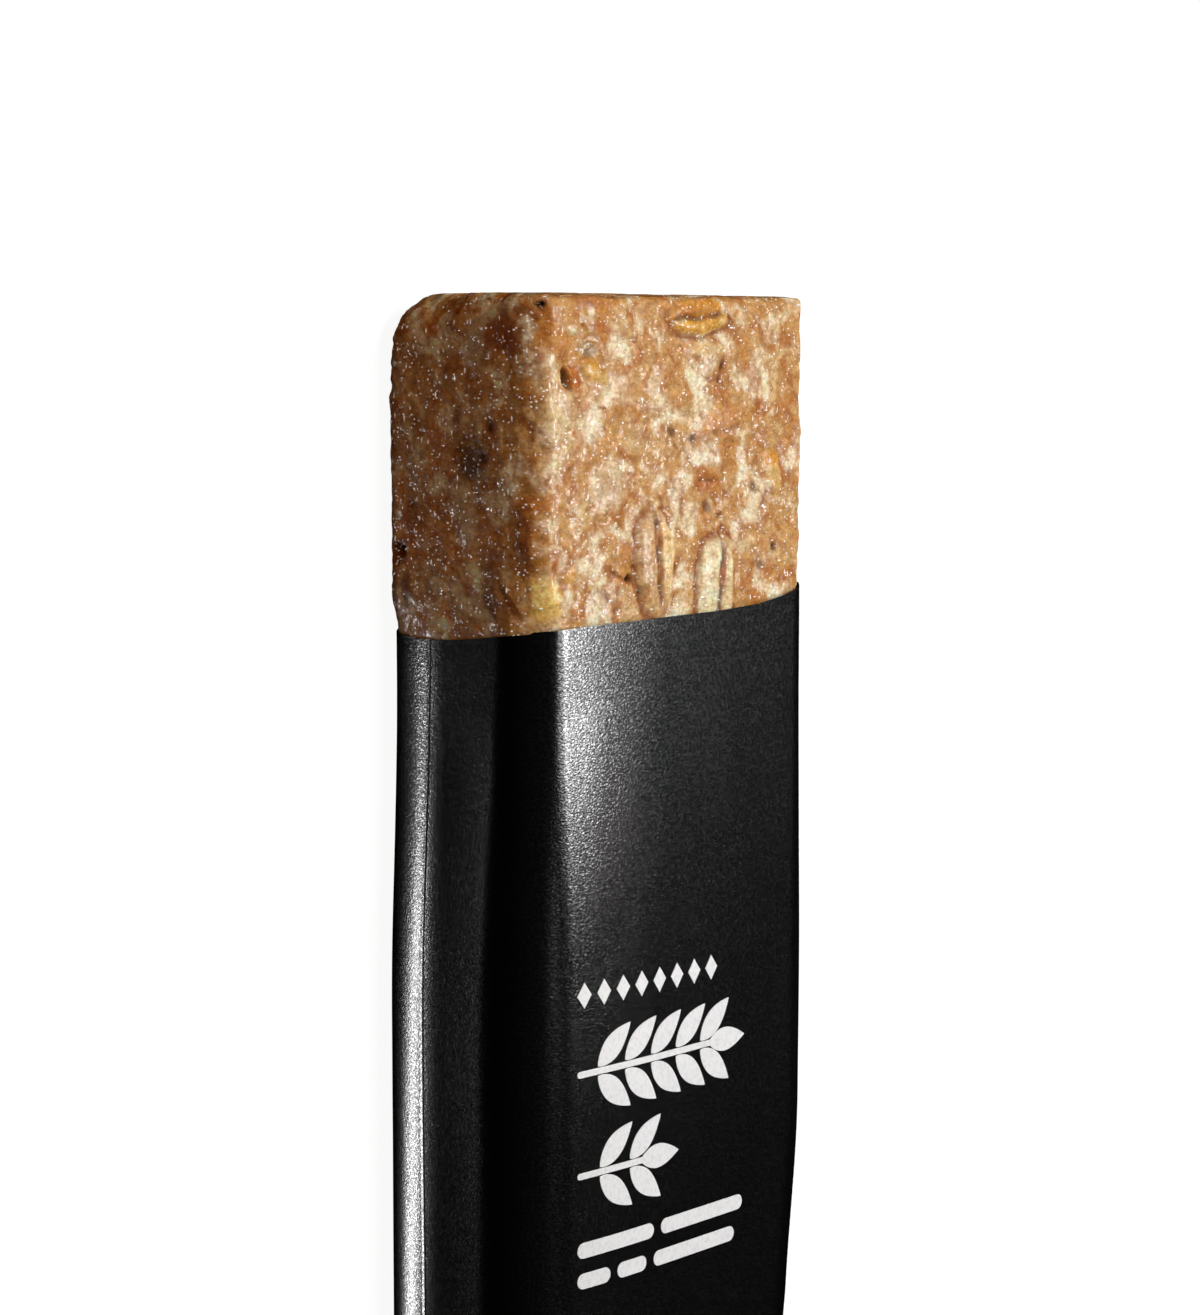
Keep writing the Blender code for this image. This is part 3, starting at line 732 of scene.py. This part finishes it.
        gather = np.exp(-(((line_at - 0.13) / 0.16) ** 2)) * smooth((perlin(wander_row * 1.3 + 9, 69) + 0.30) / 0.4) * reach
        tone = mix(tone, mix(GOLD, ORANGE, 0.8), (gather * 0.8)[:, None])
        dark_part = smooth((perlin(wander_row * 1.8 + 4, 70) + 0.30) / 0.35)
        tone = mix(tone, mix(mix(BROWN, ORANGE, 0.60), mix(BROWN, DARK, 0.3), dark_part[:, None]), (deep * 0.95)[:, None])
        colour[near] = mix(colour[near], tone, (cover * 0.95)[:, None])
        # a brown-orange outline with a shallow undercut round each oat; it is much stronger on one side, where it is a
        # painted shadow, and on the other side the oat runs into the mass
        outline_and_shadow_gate = smooth((perlin(P / 1.4 + 12, 58) + 0.42 - 0.30 * np.sign(b)) / 0.3)
        edge = smooth(1 - np.abs(rho - 1.05) / 0.17) * facing * outline_and_shadow_gate
        height[near] -= 0.07 * edge
        colour[near] = mix(colour[near], mix(BROWN, ORANGE, 0.45), (edge * 0.95)[:, None])
    colour = 1.06 * colour * np.array([1.0, 1.0, 0.90])
    return height, np.clip(colour, 0.004, 1.0)


mass_mat = mass_material()
block, block_faces, block_rows, ring_count = pressed_block()
points, outward = press(block)
inside_film = smooth((block[:, 0] - rim_x(block[:, 1], block[:, 2]) + 0.6) / 0.9)
relief, tint = mass_relief(points, outward)
relief = relief * (1 - inside_film) - 0.10 * inside_film
near_film = smooth((block[:, 0] - rim_x(block[:, 1], block[:, 2]) + 2.5) / 2.2)
relief = np.where(relief > 0.06, mix(relief, 0.06, near_film), relief)
solid = points + outward * relief[:, None]
# keep the mass from reaching past the bare end or down through the plane it lies on;
# nothing of the mass may stand out of the model's box, or under the plane it lies on
solid[:, 0] = np.maximum(solid[:, 0], X0)
solid[:, 2] = np.maximum(solid[:, 2], 0.04)
mass = mesh_piece("oat_mass", solid, block_faces, mass_mat, colours=tint)
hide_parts("bar")
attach(mass, "root")


def join(parts):
    """Several (points, faces, colours) as one."""
    pts, faces, cols, base = [], [], [], 0
    for p, f, c in parts:
        pts.append(p)
        faces.append(f + base)
        cols.append(c)
        base += len(p)
    return np.concatenate(pts), [np.concatenate(faces)], np.concatenate(cols)


# ---- the film ------------------------------------------------------------------------------------------------
def half_profile(x, top, count):
    """Points of the top or bottom half of the film's section at x, from the left tip to the right, evenly spaced."""
    low, high = 0.22, THICK - 0.02
    middle = (low + high) / 2
    rl = float(film_radius(np.array(x), np.array(-1.0), np.array(12.0 if top else 2.0)))
    rr = float(film_radius(np.array(x), np.array(1.0), np.array(12.0 if top else 2.0)))
    a = np.linspace(0, math.pi / 2, 24)
    left = np.stack([-HW + rl - rl * np.cos(a), (high - rl) + rl * np.sin(a)], 1)
    right = np.stack([HW - rr + rr * np.sin(a), (high - rr) + rr * np.cos(a)], 1)
    line = np.concatenate([[[-HW, middle]], left, right, [[HW, middle]]])
    if not top:
        line[:, 1] = (low + high) - line[:, 1]
    step = np.r_[0, np.cumsum(np.linalg.norm(np.diff(line, axis=0), axis=1))]
    at = np.linspace(0, step[-1], count)
    return np.stack([np.interp(at, step, line[:, 0]), np.interp(at, step, line[:, 1])], 1), step[-1]


TOP_COUNT = 161


def film_rows():
    tube = np.linspace(0.0, 1.0, 78)
    taper = np.linspace(TAPER_FROM, CRIMP_FROM, 30)[1:]
    crimp = np.linspace(CRIMP_FROM, X1, 26)[1:]
    return tube, taper, crimp


def film_point(profile, girth_half, x, top, count):
    """The section between the tube and the flat seal."""
    s = np.clip((x - TAPER_FROM) / (CRIMP_FROM - TAPER_FROM), 0, 1)
    close = smooth(s) * 0.55 + s * 0.45 if s < 1 else 1.0
    u = np.linspace(-1, 1, count)
    flat_y = u * girth_half / 2
    thick = 0.22
    y = mix(profile[:, 0], flat_y, close**0.9)
    z = mix(profile[:, 1], CRIMP_Z + (thick if top else -thick), close)
    return y, z


def film_skin(inset=0.0, last=None):
    """Outer skin of the film as a grid (rows, ring, 3). The ring runs over the top from the left tip to the right
    tip, and back underneath."""
    tube, taper, crimp = film_rows()
    grid = []
    for t in tube:
        # rows of the tube are spread between the slanted rim and the taper, so x differs round the row
        x_mid = mix(X0 + 27.5, TAPER_FROM, t)
        top, _ = half_profile(x_mid, True, TOP_COUNT)
        low, _ = half_profile(x_mid, False, TOP_COUNT)
        ring = np.concatenate([top, low[::-1][1:-1]])
        xs = mix(rim_x(ring[:, 0], ring[:, 1]), TAPER_FROM, t)
        grid.append(np.column_stack([xs, ring]))
    for x in np.concatenate([taper, crimp]):
        top, girth = half_profile(x, True, TOP_COUNT)
        low, _ = half_profile(x, False, TOP_COUNT)
        ty, tz = film_point(top, girth, x, True, TOP_COUNT)
        ly, lz = film_point(low, girth, x, False, TOP_COUNT)
        ring = np.concatenate([np.stack([ty, tz], 1), np.stack([ly, lz], 1)[::-1][1:-1]])
        grid.append(np.column_stack([np.full(len(ring), x), ring]))
    return np.array(grid)


def grid_normals(grid):
    along = np.gradient(grid, axis=0)
    around = np.roll(grid, -1, axis=1) - np.roll(grid, 1, axis=1)
    n = np.cross(around, along)
    n /= np.maximum(np.linalg.norm(n, axis=2, keepdims=True), 1e-9)
    return n


def film_shape():
    grid = film_skin()
    n = grid_normals(grid)
    centre = np.array([0, 0, THICK / 2])
    flip = ((grid - centre) * n)[:20].sum() < 0
    if flip:
        n = -n
    x, y, z = grid[..., 0], grid[..., 1], grid[..., 2]
    flat = grid.reshape(-1, 3)
    push = np.zeros(x.shape)
    after_rim = np.clip((x - rim_x(flat[:, 1], flat[:, 2]).reshape(x.shape)) / 10.0, 0, 1)
    before_taper = smooth((TAPER_FROM + 2 - x) / 8.0)
    front = smooth((n[..., 2] - 0.6) / 0.35)
    left = smooth((-n[..., 1] - 0.6) / 0.35)
    # below the rim the sides stand a little fuller
    full = smooth((x + 27) / 30) * before_taper
    push += 0.85 * smooth((-n[..., 1] - 0.25) / 0.6) * full + 0.42 * smooth((n[..., 1] - 0.25) / 0.6) * full
    # the film is looser lower down: long shallow waves
    loose = smooth((x + 22) / 40) * before_taper
    push += loose * 0.06 * perlin(np.column_stack([flat[:, 0] / 34, flat[:, 1] / 11, flat[:, 2] / 9]), 91).reshape(x.shape)
    push += after_rim * 0.03 * perlin(np.column_stack([flat[:, 0] / 12, flat[:, 1] / 6, flat[:, 2] / 6]), 92).reshape(x.shape)
    # a broad shallow hollow along the left side, about 7 mm below the front
    t = THICK - z
    hollow = np.exp(-(((t - 7.0) / 4.5) ** 2)) * left
    push -= 0.12 * hollow * smooth((x + 26) / 10) * before_taper
    # wrinkles that run out of the seal into the tube
    s_t = np.clip((x - TAPER_FROM + 3) / (CRIMP_FROM - TAPER_FROM + 3), 0, 1)
    fold = smooth(s_t) * (1 - smooth((x - CRIMP_FROM + 1.0) / 2.0))
    ripple = perlin(np.column_stack([flat[:, 0] / 30, flat[:, 1] / 3.3 + 40, np.zeros(len(flat))]), 93).reshape(x.shape)
    creases = np.abs(perlin(np.column_stack([flat[:, 0] / 16, flat[:, 1] / 4.2, np.sign(n[..., 2].reshape(-1)) * 2.0]), 94)).reshape(x.shape)
    push += fold * (0.55 * ripple - 0.55 * (0.25 - np.minimum(creases, 0.25)))
    grid = grid + n * push[..., None]
    flat_now = grid.reshape(-1, 3)
    grid[..., 2] -= crown(flat_now[:, 0], flat_now[:, 1], flat_now[:, 2]).reshape(x.shape)
    grid[..., 1] += band_shift(grid[..., 0], grid[..., 1], grid[..., 2])
    # the seal: fine ribs along the pack, pressed into both layers
    seal = smooth((grid[..., 0] - CRIMP_FROM - 0.3) / 0.8)
    ribs = 0.11 * np.sin(grid[..., 1] * 2 * math.pi / 1.25)
    gentle = 0.35 * perlin(np.column_stack([flat[:, 0] / 14, flat[:, 1] / 13, np.zeros(len(flat))]), 95).reshape(x.shape)
    grid[..., 2] += seal * (ribs + gentle * smooth((grid[..., 0] - CRIMP_FROM) / 8))
    # the lap seam on the back
    under = smooth((-n[..., 2] - 0.8) / 0.15) * (1 - smooth((grid[..., 0] - TAPER_FROM) / 6.0))
    on_seam = smooth((SEAM_HALF + 0.12 - np.abs(grid[..., 1])) / 0.24)
    stripes = 0.03 * np.sin(grid[..., 0] * 2 * math.pi / 1.1)
    grid[..., 2] -= under * on_seam * (0.15 + stripes)
    # the zigzag cut
    pitch = 2.1
    tooth = np.abs(((grid[..., 1] / pitch) % 1.0) - 0.5) * 2
    reach = smooth((grid[..., 0] - (X1 - 2.0)) / 2.0)
    grid[..., 0] -= reach * (1 - tooth) * 0.95
    grid[..., 2] = np.maximum(grid[..., 2], 0.0)
    return grid, n


def film_material():
    n = Nodes("black_satin_film")
    colour = n.ramp(n.noise(14.0, 2.0), (0.3, (0.0010, 0.0010, 0.0012)), (0.7, (0.0018, 0.0018, 0.0021)))
    rough = n.ramp(n.noise(0.4, 2.0), (0.3, 0.17), (0.7, 0.21))
    grain = n.bump(n.noise(0.15, 0.5, 0.5, (1.0, 0.64, 0.8)), 0.012, 1.0)
    sparkle = n.ramp(n.noise(0.17, 1.0, 0.6, (1.0, 0.64, 0.8)), (0.34, 0.18), (0.52, 0.42), (0.68, 0.90))
    n.link(sparkle, n.shader.inputs["Specular IOR Level"])
    soft = n.bump(n.noise(1.6, 2.0), 0.010, 0.5, grain)
    axes = n.tree.nodes.new("ShaderNodeSeparateXYZ")
    n.link(n.where, axes.inputs[0])
    bent = n.math("ADD", axes.outputs["Z"], n.math("MULTIPLY", n.math("SUBTRACT", n.noise(45.0, 0.0), 0.5), 0.0012))
    away = n.math("MULTIPLY", n.math("ABSOLUTE", n.math("SUBTRACT", bent, 0.0056)), 4000.0)
    on_left = n.math("LESS_THAN", axes.outputs["Y"], -0.012)
    line = n.math("MULTIPLY", n.math("SUBTRACT", 1.0, away, True), on_left)
    soft = n.bump(line, 0.018, 1.0, soft)
    return n.finish(colour, rough, soft)


film_grid, film_normals = film_shape()
n_rows, n_film = film_grid.shape[:2]
FILM_THICK = 0.12
tube_rows = 78
inner_rows = tube_rows + 20
inner = film_grid - grid_normals(film_grid) * FILM_THICK * (1 if ((film_grid[10] - film_grid[10].mean(0)) * grid_normals(film_grid)[10]).sum() > 0 else -1)
inner = inner[:inner_rows:1]
outer_pts = film_grid.reshape(-1, 3)
inner_pts = inner.reshape(-1, 3)
film_faces = []
k = np.arange(n_film)
for i in range(n_rows - 1):
    a, b = i * n_film + k, i * n_film + (k + 1) % n_film
    film_faces.append(np.stack([a, a + n_film, b + n_film, b], 1))
base = n_rows * n_film
for i in range(inner_rows - 1):
    a, b = base + i * n_film + k, base + i * n_film + (k + 1) % n_film
    film_faces.append(np.stack([b, b + n_film, a + n_film, a], 1))
a, b = k, (k + 1) % n_film
film_faces.append(np.stack([a, b, base + b, base + a], 1))
# the cut edge of the seal, and the bottom of the hollow, each closed by a strip between top and bottom
for first, flip in (((n_rows - 1) * n_film, False), (base + (inner_rows - 1) * n_film, True)):
    j = np.arange(TOP_COUNT - 1)
    top_a, top_b = j, j + 1
    low_a = (n_film - j) % n_film
    low_b = n_film - (j + 1)
    low_b = np.where(j + 1 == TOP_COUNT - 1, TOP_COUNT - 1, low_b)
    strip = first + np.stack([top_a, top_b, low_b, low_a], 1)
    film_faces.append(strip[1:-1] if not flip else strip[1:-1, ::-1])
    ends = first + np.array([[0, 1, n_film - 1], [TOP_COUNT - 2, TOP_COUNT - 1, TOP_COUNT]])
    film_faces.append(ends if not flip else ends[:, ::-1])
quads_only = [f for f in film_faces if f.shape[1] == 4]
tris_only = [f for f in film_faces if f.shape[1] == 3]
film = mesh_piece("black_film", np.concatenate([outer_pts, inner_pts]), [np.concatenate(quads_only), np.concatenate(tris_only)], film_material())
film.data.set_sharp_from_angle(angle=math.radians(50))
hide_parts("wrapper")
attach(film, "root")


# ---- the print: plain white shapes ---------------------------------------------------------------------------
def front_height(x, y):
    """Height of the film's front at (x, y), from its grid."""
    top = film_grid[:, 20 : TOP_COUNT - 20]
    out = np.zeros(len(x))
    row_x = top[:, TOP_COUNT // 2 - 20, 0]
    for m in range(len(x)):
        i = int(np.clip(np.searchsorted(row_x, x[m]) - 1, 0, len(row_x) - 2))
        best = []
        for r in (i, i + 1):
            best.append(np.interp(y[m], top[r, :, 1], top[r, :, 2]))
        f = (x[m] - row_x[i]) / max(1e-9, row_x[i + 1] - row_x[i])
        out[m] = mix(best[0], best[1], np.clip(f, 0, 1))
    return out


def ink_material():
    n = Nodes("white_ink")
    colour = n.ramp(n.noise(0.35, 3.0), (0.25, lin(228, 228, 230)), (0.55, lin(246, 246, 246)))
    rough = n.ramp(n.noise(0.5, 2.0), (0.3, 0.38), (0.7, 0.52))
    bump = n.bump(n.noise(0.30, 2.0), 0.045, 0.5)
    n.put(Specular_IOR_Level=0.45)
    return n.finish(colour, rough, bump)


def ink_shape(outline, rings=8):
    """A flat closed outline (x, y) as a fan of rings round its middle."""
    outline = np.asarray(outline)
    mid = outline.mean(0)
    count = len(outline)
    layers = [mid + (outline - mid) * (r / rings) for r in range(1, rings + 1)]
    pts = np.concatenate([[mid]] + layers)
    faces3 = np.stack([np.zeros(count, int), 1 + np.arange(count), 1 + (np.arange(count) + 1) % count], 1)
    quads = []
    for r in range(rings - 1):
        a = 1 + r * count + np.arange(count)
        b = 1 + r * count + (np.arange(count) + 1) % count
        quads.append(np.stack([a, a + count, b + count, b], 1))
    tris = [faces3]
    for q in quads:
        tris += [q[:, [0, 1, 2]], q[:, [0, 2, 3]]]
    return pts, np.concatenate(tris)


def pill(x0, x1, y0, y1):
    """A bar with round ends, lying across the pack."""
    r = (x1 - x0) / 2
    cx = (x0 + x1) / 2
    a = np.linspace(-math.pi / 2, math.pi / 2, 9)
    right = [(cx + r * math.sin(t), y1 - r + r * math.cos(t)) for t in a]
    left = [(cx - r * math.sin(t), y0 + r - r * math.cos(t)) for t in a]
    line = []
    for p, q in zip(right + left, (right + left)[1:] + right[:1]):
        for f in np.linspace(0, 1, 5)[:-1]:
            line.append((mix(p[0], q[0], f), mix(p[1], q[1], f)))
    return line


def leaf(x, y, length, width, turn):
    """A pointed leaf from its foot at (x, y), turned by degrees from the way across the pack."""
    u = np.linspace(0, 1, 25)
    bow = width / 2 * np.sin(math.pi * u**0.85) ** 0.9
    c, s = math.cos(math.radians(turn)), math.sin(math.radians(turn))
    edge = [(length * a, b) for a, b in zip(u, bow)] + [(length * a, -b) for a, b in zip(u[::-1][1:-1], bow[::-1][1:-1])]
    return [(x + along * s - side * c, y + along * c + side * s) for along, side in edge]


def print_rows():
    """An ear of grain over a shorter one, with a row of small lozenges above and ruled lines below."""
    shapes = []

    def ear(e, s0, s1, pairs, length, width):
        shapes.append(pill(X0 + e - 0.28, X0 + e + 0.28, s0 - HW, s1 - HW - length * 0.75))
        pitch = (s1 - s0 - length * 1.05) / pairs
        for i in range(pairs):
            foot = s0 + 0.6 + pitch * (i + 0.55) - HW
            for turn in (-38, 38):
                shapes.append(leaf(X0 + e + (0.42 if turn > 0 else -0.42), foot, length, width, turn))
        shapes.append(leaf(X0 + e, s1 - HW - length, length, width, 0))

    for i in range(8):
        y = -HW + 5.3 + i * 2.40
        shapes.append([(X0 + 57.5, y + 0.85), (X0 + 58.6, y + 1.7), (X0 + 59.7, y + 0.85), (X0 + 58.6, y)])
    ear(65.3, 5.3, 27.8, 5, 5.2, 2.1)
    ear(74.0, 5.3, 18.4, 2, 5.2, 2.1)
    for e0, spans in ((79.75, ((5.3, 15.0), (16.0, 27.6))), (82.4, ((5.3, 9.3), (10.2, 14.0), (15.0, 26.4)))):
        for a, b in spans:
            shapes.append(pill(X0 + e0, X0 + e0 + 1.35, a - HW, b - HW))
    return shapes


ink_parts = []
for outline in print_rows():
    flat_pts, tris = ink_shape(outline)
    if np.cross(np.append(flat_pts[tris[0, 1]] - flat_pts[0], 0), np.append(flat_pts[tris[0, 2]] - flat_pts[0], 0))[2] < 0:
        tris = tris[:, ::-1]
    ground = front_height(flat_pts[:, 0], flat_pts[:, 1])
    count = len(flat_pts)
    upper = np.column_stack([flat_pts, ground + 0.040])
    lower = np.column_stack([flat_pts, ground - 0.030])
    edge = count - len(outline) + np.arange(len(outline))
    nxt = np.roll(edge, -1)
    ccw = tris[0, 1] < tris[0, 2]
    wall = np.concatenate([np.stack([edge, edge + count, nxt + count], 1), np.stack([edge, nxt + count, nxt], 1)])
    if not ccw:
        wall = wall[:, ::-1]
    ink_parts.append((np.concatenate([upper, lower]), np.concatenate([tris, tris[:, ::-1] + count, wall]), np.ones((2 * count, 3))))
ink_pts, ink_faces, _ = join(ink_parts)
ink = mesh_piece("white_print", ink_pts, ink_faces, ink_material(), smooth_shaded=True)
ink.data.set_sharp_from_angle(angle=math.radians(40))
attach(ink, "root")


# ---- floor, light and camera ---------------------------------------------------------------------------------
def floor_piece():
    mesh = bpy.data.meshes.new("floor")
    r = 2.5
    mesh.from_pydata([(-r, -r, 0), (r, -r, 0), (r, r, 0), (-r, r, 0)], [], [(0, 1, 2, 3)])
    n = Nodes("pale_floor")
    colour = n.ramp(n.noise(60.0, 3.0), (0.3, (0.16, 0.16, 0.16)), (0.7, (0.19, 0.19, 0.19)))
    n.put(Specular_IOR_Level=0.1)
    n.shader.inputs["Roughness"].default_value = 0.8
    n.shader.inputs["Emission Color"].default_value = (1, 1, 1, 1)
    n.shader.inputs["Emission Strength"].default_value = 0.93
    n.finish(colour)
    mesh.materials.append(n.material)
    obj = bpy.data.objects.new("floor", mesh)
    scene.collection.objects.link(obj)
    obj.visible_diffuse = False
    obj.visible_glossy = False
    obj.visible_shadow = False
    return obj


floor = floor_piece()


def area_light(name, place, target, size, power, size_y=None, colour=(1, 1, 1), spread=180):
    data = bpy.data.lights.new(name, "AREA")
    data.shape = "RECTANGLE"
    data.size = size
    data.size_y = size_y or size
    data.energy = power
    data.color = colour
    data.spread = math.radians(spread)
    obj = bpy.data.objects.new(name, data)
    obj.location = Vector(place) * 0.001
    obj.rotation_euler = (Vector(target) - Vector(place)).to_track_quat("-Z", "Y").to_euler()
    scene.collection.objects.link(obj)
    return obj


BAR_MIDDLE = (X0 + 14, 0, THICK)


def toward(point, direction, distance):
    return tuple(Vector(point) + Vector(direction).normalized() * distance)


key = area_light("key", toward(BAR_MIDDLE, (-0.33, 0.02, 0.93), 420), BAR_MIDDLE, 0.12, 1.26)
key.visible_glossy = False
glint = area_light("glint_front", toward(BAR_MIDDLE, (-0.66, 0.50, 0.56), 420), BAR_MIDDLE, 0.10, 0.40)
glint.visible_diffuse = False
sheen = area_light("sheen", (-27, 164, 268), (-28, -12, 18), 0.10, 0.58, 0.060)
sheen.visible_diffuse = False
edge = area_light("sheen_edge", (-24, 96, 294), (-28, -14, 18), 0.09, 0.19, 0.070)
edge.visible_diffuse = False
wide = area_light("sheen_wide", (-36, 192, 243), (-28, -8, 18), 0.08, 0.070, 0.070)
wide.visible_diffuse = False
fill = area_light("fill_left", toward((-45, -18, 9), (-0.45, -0.84, 0.30), 460), (-45, -18, 9), 0.20, 0.38, colour=(1.0, 0.63, 0.37))
fill.visible_glossy = False
glint = area_light("glint_left", toward((-45, -18, 9), (-0.66, -0.52, -0.54), 420), (-45, -18, 9), 0.08, 0.05, colour=(1.0, 0.85, 0.68))
glint.visible_diffuse = False
band = area_light("band", (84, -165, -258), (2, -18, 2), 0.16, 0.42, 0.03)
band.visible_diffuse = False
# soft light on the sides that the photo doesn't show
behind = area_light("behind", (10, 380, 200), (0, 18, 9), 0.30, 0.9, 0.12)
behind.visible_glossy = False
behind_shine = area_light("behind_shine", (20, 300, -150), (20, 18, 9), 0.22, 0.12, 0.05)
behind_shine.visible_diffuse = False

world = bpy.data.worlds.new("studio")
scene.world = world
world.use_nodes = True
tree = world.node_tree
background = tree.nodes["Background"]
background.inputs["Color"].default_value = (1, 1, 1, 1)
coords = tree.nodes.new("ShaderNodeTexCoord")
split = tree.nodes.new("ShaderNodeSeparateXYZ")
height = tree.nodes.new("ShaderNodeMapRange")
height.inputs["From Min"].default_value = 0.0
height.inputs["From Max"].default_value = 1.0
height.inputs["To Min"].default_value = 0.0
height.inputs["To Max"].default_value = 0.04
path = tree.nodes.new("ShaderNodeLightPath")
pick = tree.nodes.new("ShaderNodeMix")
pick.data_type = "FLOAT"
pick.inputs[3].default_value = 1.0
tree.links.new(coords.outputs["Generated"], split.inputs[0])
tree.links.new(split.outputs["Z"], height.inputs["Value"])
tree.links.new(height.outputs["Result"], pick.inputs[2])
tree.links.new(path.outputs["Is Camera Ray"], pick.inputs[0])
tree.links.new(pick.outputs[0], background.inputs["Strength"])

scene.view_settings.view_transform = "Standard"

data = bpy.data.cameras.new("camera")
data.sensor_width = 36.0
data.lens = 3246.2 * 36.0 / 1315.0
data.clip_start = 0.01
camera = bpy.data.objects.new("camera", data)
back = Vector((0, -0.766044, 0.642788))
right = Vector((0, 0.642788, 0.766044))
up = Vector((-1, 0, 0))
base = Matrix((right, up, back)).transposed()
turn = Euler((math.radians(-5.429), math.radians(-0.509), math.radians(0.012)), "XYZ").to_matrix()
camera.matrix_world = Matrix.Translation(Vector((-53.86, -218.57, 189.09)) * 0.001) @ (base @ turn).to_4x4()
scene.collection.objects.link(camera)
scene.camera = camera
